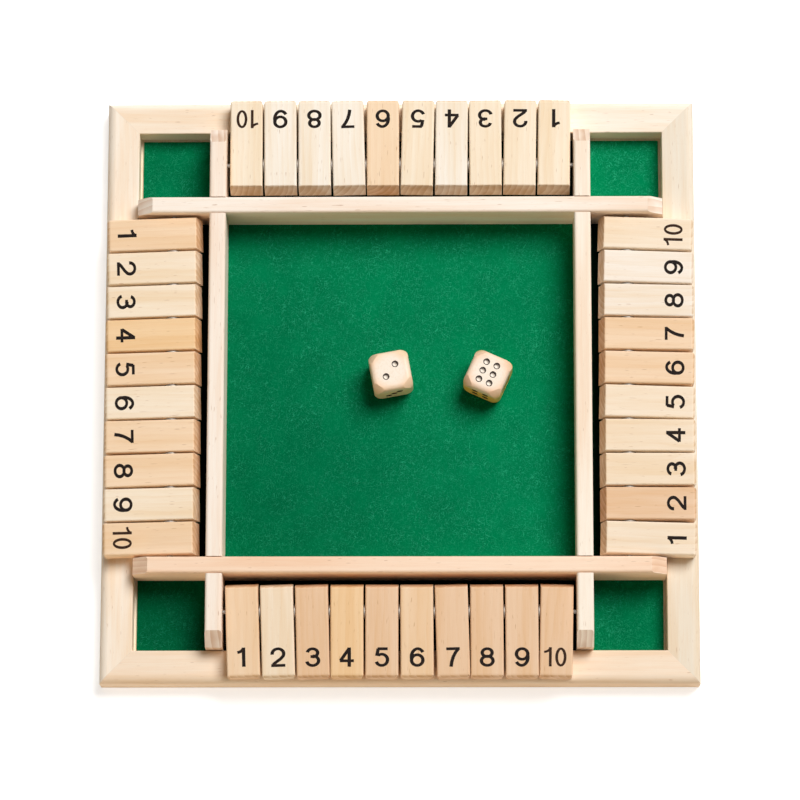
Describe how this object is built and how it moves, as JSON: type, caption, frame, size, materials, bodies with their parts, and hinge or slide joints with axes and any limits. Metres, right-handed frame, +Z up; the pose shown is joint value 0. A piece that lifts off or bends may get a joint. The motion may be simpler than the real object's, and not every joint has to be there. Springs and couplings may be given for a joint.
{
  "type": "shut the box game",
  "caption": "Square four-sided shut the box game: wooden frame, felt dice tray between crossed rails, flip tiles on steel rods along every side, and wooden dice.",
  "frame": {"origin": "centre of the frame's underside", "axes": "+Z up out of the tray, +Y to the north side and +X to the east side, as seen by the south player"},
  "size_m": [0.3, 0.3, 0.03],
  "materials": {
    "frame_pine": "satin",
    "rail_pine": "satin",
    "tile_pine": "satin",
    "dice_wood": "satin",
    "birch_plywood": "matte",
    "green_felt": "matte",
    "steel_rod": "satin",
    "steel_washer": "gloss"
  },
  "bodies": {
    "board": {"base_panel": "birch_plywood", "felt": "green_felt", "frame_north": "frame_pine", "rail_north": "rail_pine", "rod_north": "steel_rod", "washers_north": "steel_washer", "frame_west": "frame_pine", "rail_west": "rail_pine", "rod_west": "steel_rod", "washers_west": "steel_washer", "frame_south": "frame_pine", "rail_south": "rail_pine", "rod_south": "steel_rod", "washers_south": "steel_washer", "frame_east": "frame_pine", "rail_east": "rail_pine", "rod_east": "steel_rod", "washers_east": "steel_washer"},
    "tile_north_1": {"tile_north_1": "tile_pine"},
    "tile_north_2": {"tile_north_2": "tile_pine"},
    "tile_north_3": {"tile_north_3": "tile_pine"},
    "tile_north_4": {"tile_north_4": "tile_pine"},
    "tile_north_5": {"tile_north_5": "tile_pine"},
    "tile_north_6": {"tile_north_6": "tile_pine"},
    "tile_north_7": {"tile_north_7": "tile_pine"},
    "tile_north_8": {"tile_north_8": "tile_pine"},
    "tile_north_9": {"tile_north_9": "tile_pine"},
    "tile_north_10": {"tile_north_10": "tile_pine"},
    "tile_west_1": {"tile_west_1": "tile_pine"},
    "tile_west_2": {"tile_west_2": "tile_pine"},
    "tile_west_3": {"tile_west_3": "tile_pine"},
    "tile_west_4": {"tile_west_4": "tile_pine"},
    "tile_west_5": {"tile_west_5": "tile_pine"},
    "tile_west_6": {"tile_west_6": "tile_pine"},
    "tile_west_7": {"tile_west_7": "tile_pine"},
    "tile_west_8": {"tile_west_8": "tile_pine"},
    "tile_west_9": {"tile_west_9": "tile_pine"},
    "tile_west_10": {"tile_west_10": "tile_pine"},
    "tile_south_1": {"tile_south_1": "tile_pine"},
    "tile_south_2": {"tile_south_2": "tile_pine"},
    "tile_south_3": {"tile_south_3": "tile_pine"},
    "tile_south_4": {"tile_south_4": "tile_pine"},
    "tile_south_5": {"tile_south_5": "tile_pine"},
    "tile_south_6": {"tile_south_6": "tile_pine"},
    "tile_south_7": {"tile_south_7": "tile_pine"},
    "tile_south_8": {"tile_south_8": "tile_pine"},
    "tile_south_9": {"tile_south_9": "tile_pine"},
    "tile_south_10": {"tile_south_10": "tile_pine"},
    "tile_east_1": {"tile_east_1": "tile_pine"},
    "tile_east_2": {"tile_east_2": "tile_pine"},
    "tile_east_3": {"tile_east_3": "tile_pine"},
    "tile_east_4": {"tile_east_4": "tile_pine"},
    "tile_east_5": {"tile_east_5": "tile_pine"},
    "tile_east_6": {"tile_east_6": "tile_pine"},
    "tile_east_7": {"tile_east_7": "tile_pine"},
    "tile_east_8": {"tile_east_8": "tile_pine"},
    "tile_east_9": {"tile_east_9": "tile_pine"},
    "tile_east_10": {"tile_east_10": "tile_pine"},
    "die_1": {"die_1": "dice_wood"},
    "die_2": {"die_2": "dice_wood"}
  },
  "joints": [
    {"name": "flip_north_1", "type": "hinge", "parent": "board", "child": "tile_north_1", "pos_m": [0.0783, 0.115, 0.0211], "axis": [1, 0, 0], "range_deg": [0, 139]},
    {"name": "flip_north_2", "type": "hinge", "parent": "board", "child": "tile_north_2", "pos_m": [0.0609, 0.115, 0.0211], "axis": [1, 0, 0], "range_deg": [0, 139]},
    {"name": "flip_north_3", "type": "hinge", "parent": "board", "child": "tile_north_3", "pos_m": [0.0435, 0.115, 0.0211], "axis": [1, 0, 0], "range_deg": [0, 139]},
    {"name": "flip_north_4", "type": "hinge", "parent": "board", "child": "tile_north_4", "pos_m": [0.0261, 0.115, 0.0211], "axis": [1, 0, 0], "range_deg": [0, 139]},
    {"name": "flip_north_5", "type": "hinge", "parent": "board", "child": "tile_north_5", "pos_m": [0.0087, 0.115, 0.0211], "axis": [1, 0, 0], "range_deg": [0, 139]},
    {"name": "flip_north_6", "type": "hinge", "parent": "board", "child": "tile_north_6", "pos_m": [-0.0087, 0.115, 0.0211], "axis": [1, 0, 0], "range_deg": [0, 139]},
    {"name": "flip_north_7", "type": "hinge", "parent": "board", "child": "tile_north_7", "pos_m": [-0.0261, 0.115, 0.0211], "axis": [1, 0, 0], "range_deg": [0, 139]},
    {"name": "flip_north_8", "type": "hinge", "parent": "board", "child": "tile_north_8", "pos_m": [-0.0435, 0.115, 0.0211], "axis": [1, 0, 0], "range_deg": [0, 139]},
    {"name": "flip_north_9", "type": "hinge", "parent": "board", "child": "tile_north_9", "pos_m": [-0.0609, 0.115, 0.0211], "axis": [1, 0, 0], "range_deg": [0, 139]},
    {"name": "flip_north_10", "type": "hinge", "parent": "board", "child": "tile_north_10", "pos_m": [-0.0783, 0.115, 0.0211], "axis": [1, 0, 0], "range_deg": [0, 139]},
    {"name": "flip_west_1", "type": "hinge", "parent": "board", "child": "tile_west_1", "pos_m": [-0.115, 0.0783, 0.0211], "axis": [0, 1, 0], "range_deg": [0, 139]},
    {"name": "flip_west_2", "type": "hinge", "parent": "board", "child": "tile_west_2", "pos_m": [-0.115, 0.0609, 0.0211], "axis": [0, 1, 0], "range_deg": [0, 139]},
    {"name": "flip_west_3", "type": "hinge", "parent": "board", "child": "tile_west_3", "pos_m": [-0.115, 0.0435, 0.0211], "axis": [0, 1, 0], "range_deg": [0, 139]},
    {"name": "flip_west_4", "type": "hinge", "parent": "board", "child": "tile_west_4", "pos_m": [-0.115, 0.0261, 0.0211], "axis": [0, 1, 0], "range_deg": [0, 139]},
    {"name": "flip_west_5", "type": "hinge", "parent": "board", "child": "tile_west_5", "pos_m": [-0.115, 0.0087, 0.0211], "axis": [0, 1, 0], "range_deg": [0, 139]},
    {"name": "flip_west_6", "type": "hinge", "parent": "board", "child": "tile_west_6", "pos_m": [-0.115, -0.0087, 0.0211], "axis": [0, 1, 0], "range_deg": [0, 139]},
    {"name": "flip_west_7", "type": "hinge", "parent": "board", "child": "tile_west_7", "pos_m": [-0.115, -0.0261, 0.0211], "axis": [0, 1, 0], "range_deg": [0, 139]},
    {"name": "flip_west_8", "type": "hinge", "parent": "board", "child": "tile_west_8", "pos_m": [-0.115, -0.0435, 0.0211], "axis": [0, 1, 0], "range_deg": [0, 139]},
    {"name": "flip_west_9", "type": "hinge", "parent": "board", "child": "tile_west_9", "pos_m": [-0.115, -0.0609, 0.0211], "axis": [0, 1, 0], "range_deg": [0, 139]},
    {"name": "flip_west_10", "type": "hinge", "parent": "board", "child": "tile_west_10", "pos_m": [-0.115, -0.0783, 0.0211], "axis": [0, 1, 0], "range_deg": [0, 139]},
    {"name": "flip_south_1", "type": "hinge", "parent": "board", "child": "tile_south_1", "pos_m": [-0.0783, -0.115, 0.0211], "axis": [-1, 0, 0], "range_deg": [0, 139]},
    {"name": "flip_south_2", "type": "hinge", "parent": "board", "child": "tile_south_2", "pos_m": [-0.0609, -0.115, 0.0211], "axis": [-1, 0, 0], "range_deg": [0, 139]},
    {"name": "flip_south_3", "type": "hinge", "parent": "board", "child": "tile_south_3", "pos_m": [-0.0435, -0.115, 0.0211], "axis": [-1, 0, 0], "range_deg": [0, 139]},
    {"name": "flip_south_4", "type": "hinge", "parent": "board", "child": "tile_south_4", "pos_m": [-0.0261, -0.115, 0.0211], "axis": [-1, 0, 0], "range_deg": [0, 139]},
    {"name": "flip_south_5", "type": "hinge", "parent": "board", "child": "tile_south_5", "pos_m": [-0.0087, -0.115, 0.0211], "axis": [-1, 0, 0], "range_deg": [0, 139]},
    {"name": "flip_south_6", "type": "hinge", "parent": "board", "child": "tile_south_6", "pos_m": [0.0087, -0.115, 0.0211], "axis": [-1, 0, 0], "range_deg": [0, 139]},
    {"name": "flip_south_7", "type": "hinge", "parent": "board", "child": "tile_south_7", "pos_m": [0.0261, -0.115, 0.0211], "axis": [-1, 0, 0], "range_deg": [0, 139]},
    {"name": "flip_south_8", "type": "hinge", "parent": "board", "child": "tile_south_8", "pos_m": [0.0435, -0.115, 0.0211], "axis": [-1, 0, 0], "range_deg": [0, 139]},
    {"name": "flip_south_9", "type": "hinge", "parent": "board", "child": "tile_south_9", "pos_m": [0.0609, -0.115, 0.0211], "axis": [-1, 0, 0], "range_deg": [0, 139]},
    {"name": "flip_south_10", "type": "hinge", "parent": "board", "child": "tile_south_10", "pos_m": [0.0783, -0.115, 0.0211], "axis": [-1, 0, 0], "range_deg": [0, 139]},
    {"name": "flip_east_1", "type": "hinge", "parent": "board", "child": "tile_east_1", "pos_m": [0.115, -0.0783, 0.0211], "axis": [0, -1, 0], "range_deg": [0, 139]},
    {"name": "flip_east_2", "type": "hinge", "parent": "board", "child": "tile_east_2", "pos_m": [0.115, -0.0609, 0.0211], "axis": [0, -1, 0], "range_deg": [0, 139]},
    {"name": "flip_east_3", "type": "hinge", "parent": "board", "child": "tile_east_3", "pos_m": [0.115, -0.0435, 0.0211], "axis": [0, -1, 0], "range_deg": [0, 139]},
    {"name": "flip_east_4", "type": "hinge", "parent": "board", "child": "tile_east_4", "pos_m": [0.115, -0.0261, 0.0211], "axis": [0, -1, 0], "range_deg": [0, 139]},
    {"name": "flip_east_5", "type": "hinge", "parent": "board", "child": "tile_east_5", "pos_m": [0.115, -0.0087, 0.0211], "axis": [0, -1, 0], "range_deg": [0, 139]},
    {"name": "flip_east_6", "type": "hinge", "parent": "board", "child": "tile_east_6", "pos_m": [0.115, 0.0087, 0.0211], "axis": [0, -1, 0], "range_deg": [0, 139]},
    {"name": "flip_east_7", "type": "hinge", "parent": "board", "child": "tile_east_7", "pos_m": [0.115, 0.0261, 0.0211], "axis": [0, -1, 0], "range_deg": [0, 139]},
    {"name": "flip_east_8", "type": "hinge", "parent": "board", "child": "tile_east_8", "pos_m": [0.115, 0.0435, 0.0211], "axis": [0, -1, 0], "range_deg": [0, 139]},
    {"name": "flip_east_9", "type": "hinge", "parent": "board", "child": "tile_east_9", "pos_m": [0.115, 0.0609, 0.0211], "axis": [0, -1, 0], "range_deg": [0, 139]},
    {"name": "flip_east_10", "type": "hinge", "parent": "board", "child": "tile_east_10", "pos_m": [0.115, 0.0783, 0.0211], "axis": [0, -1, 0], "range_deg": [0, 139]},
    {"name": "die_1_lift", "type": "slide", "parent": "board", "child": "die_1", "axis": [0, 0, 1], "range_m": [0, 0.05]},
    {"name": "die_2_lift", "type": "slide", "parent": "board", "child": "die_2", "axis": [0, 0, 1], "range_m": [0, 0.05]}
  ]
}
